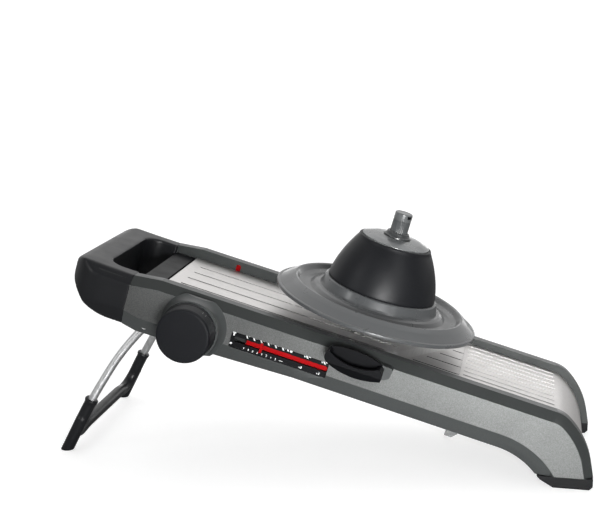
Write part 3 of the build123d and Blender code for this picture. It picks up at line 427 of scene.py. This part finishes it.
def fluted(low, high, flutes=30, depth=0.22):
    """Shaft with fine upright flutes."""
    mesh = bmesh.new()
    rings = []
    segments = flutes * 6
    for height, cut in ((low, 0.0), (low + 0.4, depth), (high - 0.4, depth), (high, 0.0)):
        ring = []
        for i in range(segments):
            angle = 2 * pi * i / segments
            radius = STEM_RADIUS - cut * (0.5 - 0.5 * cos(flutes * angle)) ** 2
            ring.append(mesh.verts.new(on_guard(radius, height, angle)))
        rings.append(ring)
    for one, two in zip(rings, rings[1:]):
        for i in range(segments):
            j = (i + 1) % segments
            mesh.faces.new((one[i], one[j], two[j], two[i]))
    mesh.faces.new(rings[0][::-1])
    mesh.faces.new(rings[-1])
    return mesh


def plunger_top():
    """Fluted shaft and the knob on it; the catch notch in its side is a black patch laid on the knob,
    painted shade in place of a cut.
    """
    add_piece("plunger_shaft", fluted(58.0, 70.9), STEM, "plunger", 50)
    tube = [(0, 9.2, 0), (6.8, 9.2, 0.2), (6.8, 30.3, 0.1), (8.8, 30.4, 0.2),
            (8.8, 32.4, 0.2), (6.8, 32.5, 0.1), (6.8, 58.0, 0), (0, 58.0, 0)]
    add_piece("plunger_tube", spun(rounded(tube, 2), on_guard, 96), STEM, "plunger", 35,
              ["plunger_stem"])
    knob = [(0, 70.9, 0), (6.4, 70.9, 0), (6.4, 71.4, 0.1), (6.9, 71.6, 0.15),
            (6.9, 76.5, 0.5), (6.3, 77.1, 0.3), (5.6, 76.75, 0.2), (0, 76.85, 0)]
    add_piece("plunger_knob", spun(rounded(knob), on_guard), KNOB, "plunger", 35, ["stem_knob"])
    # Painted shade: the catch notch is a black patch on the knob's surface, not a recess.
    notch = bmesh.new()
    wedge(notch, on_guard, (73.7, 75.9), (6.2, 6.93), range(-56, -23, 4))
    add_piece("plunger_notch_painted_shade", notch, BLACK, "plunger", 35)


def brim_dimple():
    """Small moulded dimple on the slope of the brim."""
    angle, radius = radians(-14), 74.6
    centre = Vector(on_guard(radius, 3.35, angle))
    out = Vector((cos(angle), sin(angle), 0))
    side = Vector((-sin(angle), cos(angle), 0))
    up = (Vector((0, 0, 1)) + out * 0.5).normalized()
    slope = up.cross(side)
    ring = [(0, -0.25, 0), (0.9, -0.2, 0.1), (1.25, 0.25, 0.15), (1.7, 0.28, 0.15), (1.8, -0.3, 0),
            (0, -0.5, 0)]

    def place(r, h, turn):
        return centre + side * r * cos(turn) + slope * r * sin(turn) + up * h

    add_piece("brim_dimple", spun(rounded(ring, 3), place, 32), GUARD_GREY, "guard", 40)


# ------------------------------------------------------------------ dial
def dial_knob():
    """Soft round knob: ring groove on the side, rounded front edge, very slightly domed face."""
    outline = [(2.55, 82.6, 0), (16.9, 82.6, 0.2), (16.9, 85.4, 0.2), (17.2, 85.4, 0.1),
               (17.2, 82.7, 0.2), (20.4, 82.6, 0.5), (20.8, 83.4, 0.4), (20.8, 86.4, 0.25),
               (20.2, 86.6, 0.2), (20.2, 87.3, 0.2), (20.8, 87.5, 0.25), (20.6, 98.6, 0.5),
               (19.9, 100.6, 1.1), (18.2, 100.75, 0.8), (0, 101.0, 0), (0, 97.6, 0), (2.55, 97.6, 0)]
    mesh = spun(rounded(outline), on_dial, 192)
    add_piece("dial_cap", mesh, DIAL_BLACK, "dial", 30, ["dial_knob"])


def dial_mark():
    """Two moulded ticks on the side of the knob that show its position."""
    mesh = bmesh.new()
    for turn in (58, 66):
        wedge(mesh, on_dial, (88.6, 92.2), (20.3, 20.85), (turn - 0.9, turn + 0.9))
    add_piece("dial_mark", mesh, COLLAR, "dial", 30)


# ------------------------------------------------------------------ scale
def printed(mesh, outline):
    """Print on the scale panel, 0.06 mm thick."""
    prism(mesh, outline, PANEL_FACE - 0.05, PANEL_FACE + 0.06)


def dot(mesh, x, z, radius):
    """Round spot centred on a point."""
    turns = [i * pi / 8 for i in range(16)]
    printed(mesh, [(x + radius * cos(turn), z + radius * sin(turn)) for turn in turns])


def slanted(mesh, x, z, width, height, lean):
    """Small slanted bar centred on a point."""
    left, right = x - width / 2, x + width / 2
    printed(mesh, [(left - lean, z - height / 2), (right - lean, z - height / 2),
                   (right + lean, z + height / 2), (left + lean, z + height / 2)])


def scale_marks():
    """Printed marks: cut symbols above the slot, fine divisions below it, a dot at the locked end."""
    mesh = bmesh.new()
    upper, lower = DIAL[2] + 5.2, DIAL[2] - 4.7
    dot(mesh, -250.3, upper, 1.3)
    slanted(mesh, -250.3, upper - 1.9, 1.1, 1.6, 0)
    dot(mesh, -250.9, lower + 0.9, 0.95)
    for i in range(6):
        x = -240.5 + 5.7 * i
        slanted(mesh, x, upper - 0.2, 1.2, 2.7, -0.8)
        slanted(mesh, x + 1.5, upper + 0.75, 1.5, 1.1, -0.4)
        dot(mesh, x - 1.2, upper + 0.9, 0.5)
    dot(mesh, -205.4, upper - 0.3, 1.0)
    slanted(mesh, -208.1, upper, 1.3, 1.9, -0.5)
    for x in (-193.0, -179.4):
        slanted(mesh, x, upper - 0.2, 1.3, 2.6, -0.9)
        slanted(mesh, x + 1.9, upper + 0.4, 1.9, 1.2, -0.4)
        slanted(mesh, x - 1.6, upper - 0.6, 1.0, 1.0, -0.2)
    for i in range(8):
        slanted(mesh, -240.5 + 3.6 * i, lower, 0.6, 1.8 if i % 2 else 1.2, 0)
    slanted(mesh, -211.0, lower - 0.2, 3.0, 0.45, 0.2)
    for x in (-195.0, -181.0):
        slanted(mesh, x, lower, 0.7, 1.8, 0)
        dot(mesh, x - 1.5, lower - 0.3, 0.5)
    add_piece("scale_marks", mesh, PRINT, "frame", 30)


# ------------------------------------------------------------------ soft parts
def spring_coil():
    """A copy of the coil inside the dome, riding on the guard."""
    data = frame["nodes"]["guard_spring"].data.copy()
    piece = bpy.data.objects.new("spring_coil", data)
    bpy.context.scene.collection.objects.link(piece)
    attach(piece, "guard")
    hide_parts("guard_spring")
    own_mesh(piece)


def softened(node, name, body, material, voxel, passes, held=lambda point: 1.0):
    """Remeshed, smoothed copy of a CAD node; held(point) is 0 where a deck point stays, else up to 1."""
    source = frame["nodes"][node]
    data = source.data.copy()
    data.name = name
    data.materials.clear()
    piece = bpy.data.objects.new(name, data)
    bpy.context.scene.collection.objects.link(piece)
    weld = piece.modifiers.new("weld", "WELD")
    weld.merge_threshold = 1e-6
    remesh = piece.modifiers.new("remesh", "REMESH")
    remesh.mode = "VOXEL"
    remesh.voxel_size = voxel
    remesh.use_smooth_shade = True
    graph = bpy.context.evaluated_depsgraph_get()
    made = bpy.data.meshes.new_from_object(piece.evaluated_get(graph))
    piece.modifiers.clear()
    mesh = bmesh.new()
    mesh.from_mesh(made)
    back = DECK.inverted()
    weights = [held(back @ vert.co) for vert in mesh.verts]
    for _ in range(passes):
        moved = []
        for vert, weight in zip(mesh.verts, weights):
            near = [edge.other_vert(vert).co for edge in vert.link_edges]
            mean = sum(near, Vector()) / len(near)
            moved.append(vert.co.lerp(mean, 0.5 * weight))
        for vert, place in zip(mesh.verts, moved):
            vert.co = place
    mesh.to_mesh(made)
    mesh.free()
    made.polygons.foreach_set("use_smooth", [True] * len(made.polygons))
    made.materials.clear()
    made.materials.append(material)
    piece.data = made
    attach(piece, body)
    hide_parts(node)


def grip_hold(point):
    """The grip keeps its edges at the seam and softens towards the rear."""
    return max(0.0, min(1.0, (-337.7 - point.x) / 16.0))


def crisp_edges(node, width, angle=28.0):
    """Narrow rounded edges on a CAD node, so that they catch the light."""
    piece = frame["nodes"][node]
    weld = piece.modifiers.new("weld", "WELD")
    weld.merge_threshold = 1e-6
    bevel = piece.modifiers.new("bevel", "BEVEL")
    bevel.width = width * MM
    bevel.segments = 2
    bevel.limit_method = "ANGLE"
    bevel.angle_limit = radians(angle)
    bevel.harden_normals = True
    bevel.use_clamp_overlap = True


guard_brim()
guard_crown()
guard_cap()
guard_collar()
plunger_top()
brim_dimple()
dial_knob()
dial_mark()
scale_marks()
softened("handle_grip", "soft_handle", "frame", RUBBER, 0.0009, 10, grip_hold)
softened("leg_foot", "soft_leg_sleeve", "leg", RUBBER, 0.0006, 6)
for rail in ("near_rail", "far_rail"):
    crisp_edges(rail, 0.35)


# ------------------------------------------------------------------ stage, light and camera
def camera_only(nodes, links, seen, other, output):
    """Shows one shader to the camera and gives the light another one."""
    path = nodes.new("ShaderNodeLightPath")
    pick = nodes.new("ShaderNodeMixShader")
    links.new(path.outputs["Is Camera Ray"], pick.inputs[0])
    links.new(other.outputs[0], pick.inputs[1])
    links.new(seen.outputs[0], pick.inputs[2])
    links.new(pick.outputs[0], output.inputs["Surface"])


def floor():
    """White paper for the camera that throws only a little light back up."""
    mesh = bpy.data.meshes.new("floor")
    size = 4.0
    corners = [(-size, -size, 0), (size, -size, 0), (size, size, 0), (-size, size, 0)]
    mesh.from_pydata(corners, [], [(0, 1, 2, 3)])
    piece = bpy.data.objects.new("floor", mesh)
    bpy.context.scene.collection.objects.link(piece)
    material, bsdf = shader("floor_paper", (0.9, 0.9, 0.9), 0.8)
    nodes, links = material.node_tree.nodes, material.node_tree.links
    tint = ramp(material, noise(material, 40.0), (0.50, 0.50, 0.50), (0.53, 0.53, 0.53))
    links.new(tint, bsdf.inputs["Base Color"])
    bsdf.inputs["Emission Color"].default_value = (1, 1, 1, 1)
    bsdf.inputs["Emission Strength"].default_value = 0.66
    muted = nodes.new("ShaderNodeBsdfDiffuse")
    muted.inputs["Color"].default_value = (0.3, 0.3, 0.3, 1)
    camera_only(nodes, links, bsdf, muted, nodes["Material Output"])
    mesh.materials.append(material)


def area_light(name, place, target, size, power, beam=180):
    """Softbox; a beam below 180 degrees is a grid in front of it."""
    data = bpy.data.lights.new(name, "AREA")
    data.shape = "RECTANGLE"
    data.size, data.size_y = size
    data.energy = power
    data.spread = radians(beam)
    light = bpy.data.objects.new(name, data)
    light.location = place
    light.rotation_euler = (Vector(target) - Vector(place)).to_track_quat("-Z", "Y").to_euler()
    bpy.context.scene.collection.objects.link(light)


def studio():
    """White for the camera; for the light a bright backdrop behind, a dim room in front, and softboxes."""
    world = bpy.data.worlds.new("studio")
    world.use_nodes = True
    nodes, links = world.node_tree.nodes, world.node_tree.links
    room = nodes["Background"]
    room.inputs["Color"].default_value = (1, 1, 1, 1)
    seen = nodes.new("ShaderNodeBackground")
    seen.inputs["Color"].default_value = (1, 1, 1, 1)
    seen.inputs["Strength"].default_value = 1.2
    direction = nodes.new("ShaderNodeTexCoord")
    axes = nodes.new("ShaderNodeSeparateXYZ")
    links.new(direction.outputs["Generated"], axes.inputs[0])
    backdrop = nodes.new("ShaderNodeMapRange")
    backdrop.interpolation_type = "SMOOTHSTEP"
    backdrop.inputs["From Min"].default_value = -0.15
    backdrop.inputs["From Max"].default_value = 0.55
    backdrop.inputs["To Min"].default_value = 0.15
    backdrop.inputs["To Max"].default_value = 0.88
    links.new(axes.outputs["Y"], backdrop.inputs["Value"])
    links.new(backdrop.outputs["Result"], room.inputs["Strength"])
    camera_only(nodes, links, seen, room, nodes["World Output"])
    bpy.context.scene.world = world
    sun = bpy.data.lights.new("sky_panel", "SUN")
    sun.energy = 0.8
    sun.angle = radians(80)
    light = bpy.data.objects.new("sky_panel", sun)
    light.rotation_euler = Vector((0.0, -0.45, -1.0)).to_track_quat("-Z", "Y").to_euler()
    bpy.context.scene.collection.objects.link(light)
    middle = (0.02, 0, 0.15)
    area_light("left_softbox", (-1.0, -0.85, 0.70), middle, (0.18, 0.8), 3.0)
    area_light("right_softbox", (0.85, -0.85, 0.75), middle, (0.18, 0.8), 2.2)
    area_light("low_softbox", (0.27, -1.0, 0.13), (0.12, -0.07, 0.07), (0.26, 0.24), 1.9, 60)
    area_light("rear_fill", (-0.1, 1.4, 0.12), (0, 0, 0.08), (1.2, 0.24), 1.5)
    bpy.context.scene.view_settings.view_transform = "Standard"


def camera():
    """Looks at the near side from slightly ahead and above."""
    data = bpy.data.cameras.new("camera")
    data.sensor_width = 36.0
    data.lens = 76.41
    piece = bpy.data.objects.new("camera", data)
    place = Vector((0.15494, -0.95298, 0.35366))
    aim = Vector((-0.05763, 0.17294, 0.1170))
    roll = Matrix.Rotation(radians(0.50), 3, "Z").to_quaternion()
    piece.location = place
    piece.rotation_mode = "QUATERNION"
    piece.rotation_quaternion = (aim - place).to_track_quat("-Z", "Y") @ roll
    bpy.context.scene.collection.objects.link(piece)
    bpy.context.scene.camera = piece


spring_coil()
floor()
studio()
camera()
